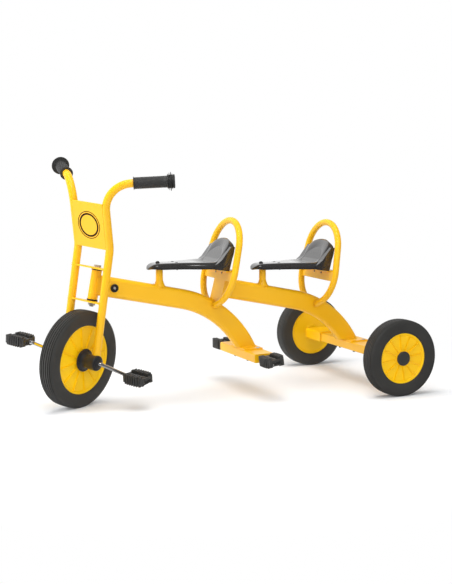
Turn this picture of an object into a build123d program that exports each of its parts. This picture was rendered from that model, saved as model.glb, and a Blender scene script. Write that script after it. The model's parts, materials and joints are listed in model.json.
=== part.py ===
"""Child's two-seat tricycle, modelled at its real size in millimetres.

Layout while building: X forward, Y to the rider's left, Z up. X is 0 at the rear axle and
Z is 0 on the ground. The steered pieces are drawn straight ahead, then turned together about
the steering axis to the angle at which the tricycle is parked. At the end everything moves
along X so that the origin lies under the middle of the tricycle.
"""
import os
from math import asin, cos, radians, sin

from build123d import *

# ---------------------------------------------------------------- driving dimensions
# wheels
front_wheel_radius = 135.0
rear_wheel_radius = 110.0
wheelbase = 875.0
rear_track = 523.0
tyre_width = 46.0
tyre_shoulder = 13.0
front_rim_radius = 95.5
rear_rim_radius = 72.5
rim_lip = 5.0
rim_inset = 3.0
web_thickness = 30.0
web_inset = 7.0
boss_flare = 3.0
front_boss_radius = 24.0
rear_boss_radius = 20.0
rib_count = 12
rib_width = 3.0
rib_height = 2.4
hub_cap_radius = 21.0
hub_cap_depth = 6.0
hub_flange_radius = 32.0
hub_flange_thickness = 3.0
hub_neck_radius = 17.0
hub_neck_flare = 5.0
running_clearance = 0.05
side_clearance = 0.5

# steering head, set back from the front axle
steering_rake = 10.5
parked_steer = 30.0
head_back = 54.0
head_above_tyre = 65.5
head_tube_length = 80.0
head_tube_radius = 14.0
steering_bolt_radius = 6.0
bolt_flats_radius = 10.0
bushing_radius = 15.0
bushing_thickness = 4.0
bushing_depth = 14.0
bushing_wall = 3.0
yoke_thickness = 4.0
yoke_nose_radius = 16.0
stop_radius = 11.5
stop_thickness = 6.0
stop_back = 52.0

# fork and handlebar, straight ahead, measured from the axle and from the steering head
tube_radius = 11.0
leg_clearance = 22.5
leg_foot_back = 7.5
leg_foot_rise = 16.4
knee_forward = 8.5
knee_rise = 106.5
knee_bend = 70.0
brow_forward = 45.0
brow_rise = 283.5
brow_bend = 72.0
grip_end_back = 66.5
grip_end_y = 202.5
grip_end_rise = 303.0
grip_length = 110.0
grip_radius = 16.0
grip_flange_radius = 25.0
grip_flange_thickness = 4.0
grip_flange_inset = 6.0
plate_thickness = 3.0
plate_overlap = 7.0
plate_start = 1.0
plate_length = 128.0

# crank and pedals
axle_radius = 5.0
crank_throw = 85.0
crank_angle = 207.0
crank_bend = 10.0
pedal_y = 148.0
pedal_length = 72.0
pedal_width = 54.0
pedal_height = 25.0
pedal_pad_width = 16.0
pedal_barrel_radius = 9.0
pedal_end_wall = 8.0
pedal_corner = 6.0
housing_radius = 21.0
housing_length = 27.0
housing_edge = 4.0

# frame beams
beam_height = 56.0
beam_width = 32.0
beam_corner = 11.0
beam_slope = 12.0
front_bend_radius = 300.0
rear_bend_radius = 280.0
front_foot_forward = 5.5
rear_foot_forward = 18.4
rear_beam_drop = 16.0
rear_beam_back = 374.0
wedge_length = 12.0
wedge_depth = 30.0
end_plate_half_width = 36.0
end_plate_thickness = 4.0
end_plate_setback = 6.0

# cross bars
bar_depth = 62.0
bar_height = 25.0
bar_corner = 3.0
footrest_bar_back = 464.0
footrest_bar_z = 112.5
footrest_bar_length = 229.0
axle_bar_length = 262.0
foot_plate_thickness = 4.0
foot_plate_length = 96.0
foot_plate_corner = 4.0
bracket_wheel_gap = 18.5
bracket_wall = 4.0
rear_axle_radius = 6.0
footrest_pedal_gap = 6.0

# seats: nose positions measured from the steering head
front_seat_back = 153.0
seat_spacing = 324.5
seat_drop = 16.0
seat_nose_rise = 35.5
seat_length = 222.0
seat_rim = 18.5
seat_half_width = 71.0
seat_crest_rise = 77.0
seat_dish_depth = 6.0
seat_dish_forward = 40.0
dish_radius = 46.0
gusset_inset = 4.0
post_offset = 38.0
post_radius = 8.9
post_flare = 7.0

# grab hoops: feet and crowns measured back from the nose of their seat
hoop_radius = 9.5
hoop_foot_back = (200.7, 207.7)
hoop_crown_back = (261.5, 253.6)
hoop_foot_y = 22.4
hoop_foot_rise = (18.0, 8.2)
hoop_crown_rise = 127.0
hoop_crown_y = 75.6
hoop_crown_bend = 88.0
hoop_belly_y = 108.2
hoop_belly_rise = 41.0
hoop_belly_bend = 90.0
seat_bracket_drop = 26.0
seat_bracket_height = 28.0
seat_bracket_wall = 4.0


# ---------------------------------------------------------------- helpers
def unit(v):
    """Unit vector along v."""
    return Vector(v).normalized()


def cylinder_between(start, end, radius):
    """Solid round bar from one point to another."""
    start, end = Vector(start), Vector(end)
    base = Plane(origin=start, z_dir=end - start)
    return extrude(base * Circle(radius), (end - start).length)


def revolve_about_y(points, centre):
    """Solid of revolution about a line along Y through centre; points are (y, radius)."""
    outline = Polyline(*[(0, y, r) for y, r in points], close=True)
    solid = revolve(make_face(outline), Axis.Y, 360)
    return Pos(*centre) * solid


def tube_along(points, radii, radius):
    """Round rod that follows straight runs joined by arcs."""
    path = FilletPolyline(*points, radius=radii)
    section = Plane(origin=path @ 0, z_dir=path % 0) * Circle(radius)
    return sweep(section, path=path)


def mirrored(shape):
    """Copy on the other side of the tricycle."""
    return mirror(shape, about=Plane.XZ)


# ---------------------------------------------------------------- steering geometry
rake = radians(steering_rake)
steer = radians(parked_steer)
steer_axis = Vector(-sin(rake), 0, cos(rake))
head_x = wheelbase - head_back
head_z = 2 * front_wheel_radius + head_above_tyre
head_centre = Vector(head_x, 0, head_z)
leg_y = tyre_width / 2 + leg_clearance + tube_radius
housing_inner_y = leg_y - housing_length / 2
housing_outer_y = leg_y + housing_length / 2


def turned(point):
    """Where a straight-ahead point goes when the steering is at its parked angle."""
    arm = Vector(*point) - head_centre
    along = steer_axis * arm.dot(steer_axis)
    side = steer_axis.cross(arm)
    return head_centre + along + (arm - along) * cos(steer) + side * sin(steer)


def wheel_lift():
    """Height that keeps the turned front tyre on the ground."""
    axle = turned((wheelbase, 1, front_wheel_radius)) - turned((wheelbase, 0, front_wheel_radius))
    tilt = abs(axle.Z)
    reach = (tyre_width / 2 - tyre_shoulder) * tilt
    reach += (front_wheel_radius - tyre_shoulder) * (1 - tilt * tilt) ** 0.5 + tyre_shoulder
    centre = turned((wheelbase, 0, front_wheel_radius))
    rise = turned((wheelbase, 0, front_wheel_radius + 1)).Z - centre.Z
    return (reach - centre.Z) / rise


front_axle_z = front_wheel_radius + wheel_lift()
front_hub = Vector(wheelbase, 0, front_axle_z)


def tube_points(side):
    """Foot, knee, brow and grip end of one fork and handlebar tube."""
    foot = Vector(front_hub.X - leg_foot_back, side * leg_y, front_hub.Z + leg_foot_rise)
    knee = Vector(head_x + knee_forward, side * leg_y, head_z + knee_rise)
    brow = Vector(head_x + brow_forward, side * leg_y, head_z + brow_rise)
    end = Vector(head_x - grip_end_back, side * grip_end_y, head_z + grip_end_rise)
    return foot, knee, brow, end


def leg_on_plane(distance):
    """Middle of the two legs on the plane across the steering axis at a distance above its middle."""
    foot, knee, brow, end = tube_points(0)
    origin = head_centre + steer_axis * distance
    run = knee - foot
    share = (origin - foot).dot(steer_axis) / run.dot(steer_axis)
    return foot + run * share


# ---------------------------------------------------------------- wheels
def tyre(radius, rim_radius, centre):
    """Tyre with rounded shoulders."""
    half = tyre_width / 2
    face = make_face(Polyline((0, -half, rim_radius), (0, half, rim_radius), (0, half, radius),
                              (0, -half, radius), close=True))
    shoulders = face.vertices().sort_by(Axis.Z)[-2:]
    face = fillet(shoulders, tyre_shoulder)
    return Pos(*centre) * revolve(face, Axis.Y, 360)


def rim(radius, boss_radius, bore_radius, centre, side):
    """Moulded wheel: lipped ring, web with radial ribs and hub boss; side is the outer face."""
    half = tyre_width / 2 - rim_inset
    web_out = half - web_inset
    web_in = web_out - web_thickness
    ring_in = radius - rim_lip
    boss_out = half
    ring = revolve_about_y([(-half, ring_in), (half, ring_in), (half, radius), (-half, radius)],
                           (0, 0, 0))
    web = revolve_about_y([(web_in, bore_radius), (web_out, bore_radius), (web_out, ring_in + 1),
                           (web_in, ring_in + 1)], (0, 0, 0))
    boss = revolve_about_y([(-half, bore_radius), (boss_out, bore_radius),
                            (boss_out, boss_radius), (-half, boss_radius + boss_flare)], (0, 0, 0))
    solid = ring + web + boss
    rib_length = ring_in - boss_radius + 2
    for index in range(rib_count):
        rib = Pos(0, web_out + rib_height / 2, boss_radius - 1 + rib_length / 2)
        rib = rib * Box(rib_width, rib_height, rib_length)
        solid = solid + rib.rotate(Axis.Y, index * 360 / rib_count)
    if side < 0:
        solid = mirrored(solid)
    return Pos(*centre) * solid


# ---------------------------------------------------------------- frame beams
slope = radians(beam_slope)
beam_back = Vector(-cos(slope), 0, -sin(slope))
beam_down = Vector(sin(slope), 0, -cos(slope))
footrest_bar_x = head_x - footrest_bar_back
front_beam_foot = Vector(footrest_bar_x + front_foot_forward, 0,
                         footrest_bar_z + bar_height / 2 + foot_plate_thickness)
rear_beam_foot = Vector(rear_foot_forward, 0,
                        rear_wheel_radius + bar_height / 2 + foot_plate_thickness)
rear_line_start = head_centre + Vector(-seat_spacing, 0, -rear_beam_drop)
rear_beam_start = rear_line_start + beam_back * ((rear_beam_back - seat_spacing) / cos(slope))


def bend_centre(start, foot, bend_radius):
    """Middle of the bend that joins the straight run from start to the foot."""
    drop = start.Z - foot.Z - bend_radius * cos(slope)
    reach = start.X - foot.X + bend_radius * sin(slope)
    half = drop * sin(slope) + reach * cos(slope)
    straight = half - (half ** 2 - drop ** 2 - reach ** 2 + bend_radius ** 2) ** 0.5
    return start + beam_back * straight + beam_down * bend_radius


def beam(start, foot, bend_radius):
    """Rectangular tube with rounded corners: straight run, bend, level cut at the foot."""
    centre = bend_centre(start, foot, bend_radius)
    bend_start = centre - beam_down * bend_radius
    turns = [asin((centre.X - foot.X) / bend_radius) + radians(12)]
    turns.insert(0, (turns[0] + slope) / 2)
    arc = [centre + Vector(-sin(t), 0, cos(t)) * bend_radius for t in turns]
    path = Line(start, bend_start) + ThreePointArc(bend_start, *arc)
    section = Plane(origin=start, x_dir=(0, 1, 0), z_dir=path % 0)
    solid = sweep(section * RectangleRounded(beam_width, beam_height, beam_corner), path=path)
    return split(solid, bisect_by=Plane.XY.offset(foot.Z), keep=Keep.TOP)


def beam_line_z(start, foot, bend_radius, x):
    """Height of a beam's centre line at x."""
    centre = bend_centre(start, foot, bend_radius)
    bend_start = centre - beam_down * bend_radius
    if x > bend_start.X:
        return start.Z - (start.X - x) * sin(slope) / cos(slope)
    return centre.Z + (bend_radius ** 2 - (centre.X - x) ** 2) ** 0.5


def front_beam_solid():
    """Front beam, coped round the head tube."""
    solid = beam(head_centre, front_beam_foot, front_bend_radius)
    head = cylinder_between(head_centre - steer_axis * beam_height,
                            head_centre + steer_axis * beam_height, head_tube_radius)
    return (solid - head).solids().sort_by(Axis.X)[0]


def end_plate(toe_z):
    """Upright plate on the rear beam's front end, behind the grab hoop and leaning with it."""
    foot, crown = hoop_line(0, front_line)
    lean = unit(crown - foot)
    back = Vector(-lean.Z, 0, lean.X) * (end_plate_setback + end_plate_thickness / 2)
    low = foot + lean * ((toe_z - foot.Z) / lean.Z) + back
    rise = (rear_beam_start.Z + beam_height / 2 - toe_z) / lean.Z
    section = Rectangle(2 * end_plate_half_width, end_plate_thickness)
    return extrude(Plane(origin=low, x_dir=(0, 1, 0), z_dir=lean) * section, rise)


def rear_beam_solid(front_beam):
    """Rear beam with its end plate and the wedge that seats both on the front beam."""
    solid = beam(rear_beam_start, rear_beam_foot, rear_bend_radius)
    corner = rear_beam_start + beam_down * (beam_height / 2)
    toe = corner + beam_down * (wedge_depth * 2 / 3)
    heel = corner + beam_back * wedge_length + beam_down * wedge_depth
    above = beam_down * (beam_height / 4)
    outline = Polyline(tuple(corner - above), tuple(toe), tuple(heel),
                       tuple(corner + beam_back * wedge_length - above), close=True)
    wedge = extrude(make_face(outline), beam_width / 2 - 1, both=True)
    solid = solid + wedge + end_plate(toe.Z)
    return (solid - front_beam).solids().sort_by(SortBy.VOLUME)[-1]


# ---------------------------------------------------------------- seats and grab hoops
def seat_nose(index):
    """Nose of the front seat (0) or the rear seat (1)."""
    return Vector(head_x - front_seat_back - index * seat_spacing, 0,
                  head_z + seat_nose_rise - index * seat_drop)


# shares of the seat's length, rise, half width and rim at each slice, with its lean in degrees
seat_sections = [(0.005, 0.005, 35, 0.090, 0.20), (0.030, 0.100, 28, 0.282, 0.51),
                 (0.086, 0.182, 12, 0.401, 0.84), (0.162, 0.201, 0, 0.451, 0.95),
                 (0.315, 0.201, 0, 0.500, 0.97), (0.473, 0.201, 0, 0.606, 1.00),
                 (0.631, 0.201, 0, 0.803, 1.03), (0.743, 0.201, 0, 0.930, 0.81),
                 (0.838, 0.214, 12, 0.986, 0.41), (0.896, 0.305, 40, 1.000, 0.38),
                 (0.950, 0.500, 56, 1.000, 0.38), (1.009, 0.747, 57, 0.944, 0.49),
                 (1.052, 0.903, 52, 0.732, 0.54), (1.081, 0.981, 40, 0.423, 0.30),
                 (1.097, 1.004, 20, 0.169, 0.11)]
# shares of the seat's length and rise along the upper edge of its gusset, from back to front
gusset_edge = [(1.081, 0.75), (1.027, 0.75), (0.955, 0.50), (0.901, 0.30), (0.847, 0.18),
               (0.790, 0.10)]


def seat_slice(along, up, lean, wide, thick):
    """Slice across the saddle: rolled over at the top, sharp at its lower lip."""
    turn = radians(lean)
    place = Plane(origin=(-along * seat_length, 0, up * seat_crest_rise), x_dir=(0, 1, 0),
                  z_dir=(cos(turn), 0, -sin(turn)))
    half = wide * seat_half_width
    depth = thick * seat_rim
    roll = 0.7 * min(depth, half)
    knee_cut = roll * (1 - cos(radians(45)))
    edge = Line((-half, -depth), (half, -depth)) + Line((half, -depth), (half, -roll))
    edge += ThreePointArc((half, -roll), (half - knee_cut, -knee_cut), (half - roll, 0))
    edge += Line((half - roll, 0), (roll - half, 0))
    edge += ThreePointArc((roll - half, 0), (knee_cut - half, -knee_cut), (-half, -roll))
    edge += Line((-half, -roll), (-half, -depth))
    return place * make_face(edge)


def seat(index):
    """Moulded saddle: a rolled band from the nose up the back, dished, over an inset gusset."""
    band = loft([seat_slice(*row) for row in seat_sections])
    heel = -seat_length
    crest = seat_crest_rise
    edge = [(-along * seat_length, 0, up * crest) for along, up in gusset_edge]
    outline = Polyline((edge[-1][0], 0, -seat_rim * 0.2), (heel, 0, -seat_rim * 0.62), *edge,
                       close=True)
    gusset = extrude(make_face(outline), seat_half_width - gusset_inset, both=True)
    dish_width = seat_half_width * 0.62
    arc = ThreePointArc((0, -dish_width, dish_radius), (0, 0, dish_radius + seat_dish_depth),
                        (0, dish_width, dish_radius))
    face = make_face(arc + Polyline((0, dish_width, dish_radius), (0, dish_width, 0),
                                    (0, -dish_width, 0), (0, -dish_width, dish_radius)))
    place = Pos(heel + seat_dish_forward, 0, crest * seat_sections[5][1] + dish_radius)
    dish = place * revolve(face, Axis.Y, 360)
    solid = (band + gusset) - dish
    nose = seat_nose(index)
    return Pos(nose.X, 0, nose.Z) * solid.solids().sort_by(SortBy.VOLUME)[-1]


def seat_post(index, carrier, carrier_line):
    """Round post with a flared foot, coped on the beam and closed by the seat."""
    nose = seat_nose(index)
    x = nose.X - post_offset
    line_z = beam_line_z(*carrier_line, x)
    top_z = nose.Z + seat_rim / 4
    foot_z = line_z + beam_height / 2 / cos(slope)
    post = cylinder_between((x, 0, line_z), (x, 0, top_z), post_radius)
    flare = Pos(x, 0, foot_z) * Cone(post_radius + post_flare, post_radius, 2 * post_flare)
    skirt = cylinder_between((x, 0, line_z), (x, 0, foot_z - post_flare), post_radius + post_flare)
    return ((post + flare + skirt) - carrier).solids().sort_by(Axis.Z)[-1]


def hoop_line(index, carrier_line):
    """Foot and crown of a hoop's centre line, in the middle of the tricycle."""
    nose = seat_nose(index)
    foot_x = nose.X - hoop_foot_back[index]
    foot_z = beam_line_z(*carrier_line, foot_x) + hoop_foot_rise[index]
    return (Vector(foot_x, 0, foot_z),
            Vector(nose.X - hoop_crown_back[index], 0, nose.Z + hoop_crown_rise))


def hoop_points(index, carrier_line):
    """Corners of a hoop from its left foot over the crown to its right foot."""
    foot, crown = hoop_line(index, carrier_line)
    rise = (crown - foot).length
    outline = [(hoop_foot_y, 0), (hoop_belly_y, hoop_belly_rise / rise), (hoop_crown_y, 1)]
    outline += [(-y, share) for y, share in reversed(outline)]
    return [tuple(foot + (crown - foot) * share + Vector(0, y, 0)) for y, share in outline]


hoop_bends = [hoop_belly_bend, hoop_crown_bend, hoop_crown_bend, hoop_belly_bend]


def hoop(index, carrier, carrier_line):
    """Egg-shaped grab hoop whose two ends are welded to the beam's sides."""
    points = hoop_points(index, carrier_line)
    solid = tube_along(points, hoop_bends, hoop_radius)
    for end in (points[0], points[-1]):
        solid = solid + Pos(*end) * Sphere(hoop_radius)
    return (solid - carrier).solids().sort_by(SortBy.VOLUME)[-1]


def seat_bracket(index, hoop_solid, carrier_line):
    """Folded plate between the hoop's tubes that carries the back of the seat."""
    foot, crown = hoop_line(index, carrier_line)
    path = FilletPolyline(*hoop_points(index, carrier_line), radius=hoop_bends)
    reach = path.bounding_box().max.Y
    seat_z = seat_nose(index).Z
    lean = unit(crown - foot)
    middle = foot + lean * ((seat_z - seat_bracket_drop - foot.Z) / lean.Z)
    frame = Plane(origin=middle, x_dir=(0, 1, 0), z_dir=lean)
    front = extrude(frame * Rectangle(2 * reach, seat_bracket_wall), seat_bracket_height / 2,
                    both=True)
    top_z = seat_z - seat_rim * 0.5
    top_x = middle.X - lean.X / lean.Z * (middle.Z - top_z)
    shelf = Box(3 * hoop_radius, 2 * (reach - 3 * hoop_radius), seat_bracket_wall)
    shelf = Pos(top_x, 0, top_z - seat_bracket_wall / 2) * shelf
    below = split(front, bisect_by=Plane.XY.offset(top_z), keep=Keep.BOTTOM)
    return (below + shelf - hoop_solid).solids().sort_by(SortBy.VOLUME)[-1]


# ---------------------------------------------------------------- cross bars
def cross_bar(centre_x, centre_z, length, bore_radius):
    """Flat rectangular bar across the tricycle with a bore for its spindle rod."""
    bar = Box(bar_depth, length, bar_height)
    bar = fillet(bar.edges().filter_by(Axis.Y), bar_corner)
    bar = Pos(centre_x, 0, centre_z) * bar
    bore = cylinder_between((centre_x, -length, centre_z), (centre_x, length, centre_z),
                            bore_radius)
    return bar - bore


def foot_plate(centre_x, centre_z):
    """Plate between a beam's foot and its bar."""
    plate = Box(bar_depth - 2, foot_plate_length, foot_plate_thickness)
    plate = fillet(plate.edges().filter_by(Axis.Z), foot_plate_corner)
    return Pos(centre_x, 0, centre_z + (bar_height + foot_plate_thickness) / 2) * plate


bracket_outer_y = rear_track / 2 - tyre_width / 2 - bracket_wheel_gap


def axle_bracket(side):
    """Folded saddle welded to the end of the rear axle bar."""
    top = rear_wheel_radius + bar_height / 2 + bracket_wall
    bottom = rear_wheel_radius - bar_height / 2
    middle_y = (axle_bar_length / 2 + bracket_outer_y) / 2
    width = bracket_outer_y - axle_bar_length / 2
    box = Box(bar_depth + 2 * bracket_wall, width, top - bottom)
    box = fillet(box.edges().filter_by(Axis.Y).group_by(Axis.Z)[-1], bracket_wall + 1)
    box = Pos(0, middle_y, (top + bottom) / 2) * box
    hollow = Box(bar_depth, width - 2 * bracket_wall, top - bottom)
    box = box - Pos(0, middle_y, (top + bottom) / 2 - bracket_wall) * hollow
    bore = cylinder_between((0, 0, rear_wheel_radius), (0, rear_track, rear_wheel_radius),
                            rear_axle_radius)
    box = box - bore
    return box if side > 0 else mirrored(box)


# ---------------------------------------------------------------- fork
def fork_tube(side):
    """One tube from the grip end, past the brow bend and the knee, down to the axle housing."""
    return tube_along([tuple(point) for point in tube_points(side)], [knee_bend, brow_bend],
                      tube_radius)


def grip_axis(side):
    """Outer end and inward direction of a handlebar grip."""
    foot, knee, brow, end = tube_points(side)
    return end, unit(brow - end)


def grip(side):
    """Grip sleeve with end flanges, closed at its outer end."""
    end, inward = grip_axis(side)
    cap = end - inward * grip_flange_thickness
    start = cap + inward * grip_length
    body = cylinder_between(cap, start, grip_radius)
    outer = end + inward * grip_flange_inset
    flange = cylinder_between(outer, outer + inward * grip_flange_thickness, grip_flange_radius)
    ring = cylinder_between(start - inward * grip_flange_thickness, start, grip_radius + 2)
    hole = cylinder_between(end, start + inward, tube_radius)
    return (body + flange + ring) - hole


def front_plate_frame():
    """Plane of the front plate: origin in its middle, normal forward."""
    foot, knee, brow, end = tube_points(0)
    rise = unit(brow - knee)
    forward = Vector(rise.Z, 0, -rise.X)
    middle = knee + rise * (plate_start + plate_length / 2)
    middle = middle + forward * (tube_radius - plate_thickness / 2)
    return Plane(origin=middle, x_dir=(0, 1, 0), z_dir=forward)


def front_plate(tubes):
    """Flat plate that laps the fronts of both handlebar tubes, above the knees."""
    frame = front_plate_frame()
    width = 2 * (leg_y - tube_radius + plate_overlap)
    panel = extrude(frame * Rectangle(width, plate_length), plate_thickness / 2, both=True)
    for tube in tubes:
        panel = panel - tube
    return panel.solids().sort_by(SortBy.VOLUME)[-1]


def yoke(distance, tubes):
    """Flat plate from between the legs back to the steering bolt, on a plane across the axis."""
    origin = head_centre + steer_axis * distance
    reach = (leg_on_plane(distance) - origin).length
    frame = Plane(origin=origin, x_dir=(cos(rake), 0, sin(rake)), z_dir=steer_axis)
    half = leg_y - tube_radius * 0.6
    lap = tube_radius * 0.75
    nose = yoke_nose_radius
    outline = Polyline((-2, -nose), (reach - lap, -half), (reach + lap, -half),
                       (reach + lap, half), (reach - lap, half), (-2, nose), close=True)
    shape = make_face(outline) + Circle(nose)
    plate = extrude(frame * shape, yoke_thickness / 2, both=True)
    plate = plate - cylinder_between(origin - steer_axis * yoke_thickness,
                                     origin + steer_axis * yoke_thickness, steering_bolt_radius)
    for tube in tubes:
        plate = plate - tube
    return plate.solids().sort_by(SortBy.VOLUME)[-1]


def steering_bolt(reach):
    """Bolt through both yokes and the head tube, with head and nut."""
    low = head_centre - steer_axis * (reach + yoke_thickness)
    high = head_centre + steer_axis * (reach + yoke_thickness)
    shank = cylinder_between(low, high, steering_bolt_radius)
    flats = RegularPolygon(bolt_flats_radius, 6)
    head = extrude(Plane(origin=high, z_dir=steer_axis) * flats, bolt_flats_radius * 0.6)
    nut = extrude(Plane(origin=low, z_dir=steer_axis * -1) * flats, bolt_flats_radius * 0.8)
    tail = cylinder_between(low, low - steer_axis * (2 * steering_bolt_radius),
                            steering_bolt_radius)
    return shank + head + nut + tail


def axle_housing(side, tube):
    """Bearing block on the end of a fork leg, round the pedal axle."""
    start = front_hub + Vector(0, side * housing_inner_y, 0)
    end = front_hub + Vector(0, side * housing_outer_y, 0)
    block = cylinder_between(start, end, housing_radius)
    block = fillet(block.edges().group_by(Axis.Y)[-1 if side > 0 else 0], housing_edge)
    bore = cylinder_between(front_hub, end + Vector(0, side, 0), axle_radius + running_clearance)
    return (block - bore - tube).solids().sort_by(SortBy.VOLUME)[-1]


# ---------------------------------------------------------------- crank and pedals
def crank_point(side, share, y):
    """Point on the crank: share of the throw from the axle, at a distance from the middle."""
    angle = radians(crank_angle)
    out = crank_throw * share * side
    return (front_hub.X + out * cos(angle), side * y, front_hub.Z + out * sin(angle))


def crank():
    """One-piece bent rod: axle, two splayed arms and two pedal spindles."""
    inner_y = pedal_y - pedal_length / 2
    spindle_end = pedal_y + pedal_length / 2 - pedal_end_wall
    points = []
    for side in (1, -1):
        half = [crank_point(side, 1, spindle_end), crank_point(side, 1, inner_y - 8),
                crank_point(side, 0, housing_outer_y + 9)]
        points += half if side > 0 else half[::-1]
    return tube_along(points, [crank_bend] * 4, axle_radius)


def pedal(centre, side, bore_radius):
    """Moulded pedal: two ribbed pads joined by end walls and the spindle barrel."""
    half = pedal_length / 2
    solid = Box(pedal_width, pedal_length, pedal_height)
    solid = fillet(solid.edges().filter_by(Axis.Z), pedal_corner)
    gap_width = (pedal_width - 2 * pedal_pad_width - 2 * pedal_barrel_radius + 4) / 2
    gap_length = pedal_length - 2 * pedal_end_wall
    for across in (1, -1):
        centre_x = across * (pedal_width / 2 - pedal_pad_width - gap_width / 2)
        solid = solid - Pos(centre_x, 0, 0) * Box(gap_width, gap_length, pedal_height + 2)
    for level in (1, -1):
        trim = Pos(0, 0, level * (pedal_height / 2 + pedal_barrel_radius - 2.5))
        solid = solid - trim * Box(pedal_width - 2 * pedal_pad_width, pedal_length + 2,
                                   2 * pedal_barrel_radius)
    bore = cylinder_between((0, -side * (half + 1), 0),
                            (0, side * (half - pedal_end_wall + side_clearance), 0), bore_radius)
    return Pos(*centre) * (solid - bore)


# ---------------------------------------------------------------- assembly
nodes = {}
steered = {}
front_line = (head_centre, front_beam_foot, front_bend_radius)
rear_line = (rear_beam_start, rear_beam_foot, rear_bend_radius)

# frame
nodes["front_beam"] = front_beam_solid()
nodes["rear_beam"] = rear_beam_solid(nodes["front_beam"])
head_half = head_tube_length / 2
liner_radius = steering_bolt_radius + bushing_wall
nodes["head_tube"] = cylinder_between(head_centre - steer_axis * head_half,
                                      head_centre + steer_axis * head_half, head_tube_radius)
nodes["head_tube"] = nodes["head_tube"] - cylinder_between(
    head_centre - steer_axis * head_tube_length, head_centre + steer_axis * head_tube_length,
    liner_radius)
bushings = []
for end in (1, -1):
    seat_face = head_centre + steer_axis * (end * head_half)
    outer_face = seat_face + steer_axis * (end * bushing_thickness)
    sleeve_end = seat_face - steer_axis * (end * bushing_depth)
    bushing = cylinder_between(seat_face, outer_face, bushing_radius)
    bushing = bushing + cylinder_between(sleeve_end, seat_face, liner_radius)
    bushing = bushing - cylinder_between(sleeve_end - steer_axis * end, outer_face + steer_axis * end,
                                         steering_bolt_radius + running_clearance)
    bushings.append(bushing)
nodes["head_bushings"] = Compound(children=bushings)

carriers = (("front", front_line), ("rear", rear_line))
for index, (name, line) in enumerate(carriers):
    beam_solid = nodes[name + "_beam"]
    nodes["seat_" + name] = seat(index)
    nodes["seat_post_" + name] = seat_post(index, beam_solid, line) - nodes["seat_" + name]
    nodes["hoop_" + name] = hoop(index, beam_solid, line)
    bracket = seat_bracket(index, nodes["hoop_" + name], line)
    bracket = bracket - nodes["seat_" + name] - nodes["rear_beam"]
    nodes["seat_bracket_" + name] = bracket.solids().sort_by(SortBy.VOLUME)[-1]
nodes["hoop_front"] = nodes["hoop_front"] - nodes["rear_beam"]

nodes["footrest_bar"] = cross_bar(footrest_bar_x, footrest_bar_z, footrest_bar_length, axle_radius)
nodes["rear_axle_bar"] = cross_bar(0, rear_wheel_radius, axle_bar_length, rear_axle_radius)
nodes["footrest_mount_plate"] = foot_plate(footrest_bar_x, footrest_bar_z)
nodes["rear_axle_mount_plate"] = foot_plate(0, rear_wheel_radius)
for name, side in (("left", 1), ("right", -1)):
    nodes["axle_bracket_" + name] = axle_bracket(side)

rim_half = tyre_width / 2 - rim_inset
boss_in = rear_track / 2 - rim_half
shaft_end = rear_track / 2 + rim_half
shaft = cylinder_between((0, -shaft_end, rear_wheel_radius), (0, shaft_end, rear_wheel_radius),
                         rear_axle_radius)
for side in (1, -1):
    shaft = shaft + cylinder_between((0, side * bracket_outer_y, rear_wheel_radius),
                                     (0, side * (boss_in - side_clearance), rear_wheel_radius),
                                     rear_axle_radius + 5)
nodes["rear_axle_shaft"] = shaft
footrest_pedal_y = footrest_bar_length / 2 + footrest_pedal_gap + pedal_length / 2
footrest_reach = footrest_pedal_y + pedal_length / 2 - pedal_end_wall
nodes["footrest_spindle"] = cylinder_between((footrest_bar_x, -footrest_reach, footrest_bar_z),
                                             (footrest_bar_x, footrest_reach, footrest_bar_z),
                                             axle_radius)

stops = []
stop_centre = head_centre + beam_back * stop_back
for side in (1, -1):
    base = stop_centre + Vector(0, side * beam_width / 2, 0)
    stops.append(cylinder_between(base, base + Vector(0, side * stop_thickness, 0), stop_radius))
nodes["steering_stops"] = Compound(children=stops)

# fork and handlebar
tubes = [fork_tube(1), fork_tube(-1)]
steered["fork_tube_left"], steered["fork_tube_right"] = tubes
steered["front_plate"] = front_plate(tubes)
yoke_level = head_half + bushing_thickness + side_clearance + yoke_thickness / 2
steered["upper_yoke"] = yoke(yoke_level, tubes)
steered["lower_yoke"] = yoke(-yoke_level, tubes)
steered["steering_bolt"] = steering_bolt(yoke_level - yoke_thickness / 2)
for name, side, tube in (("left", 1, tubes[0]), ("right", -1, tubes[1])):
    steered["grip_" + name] = grip(side)
    steered["axle_housing_" + name] = axle_housing(side, tube)

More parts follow.
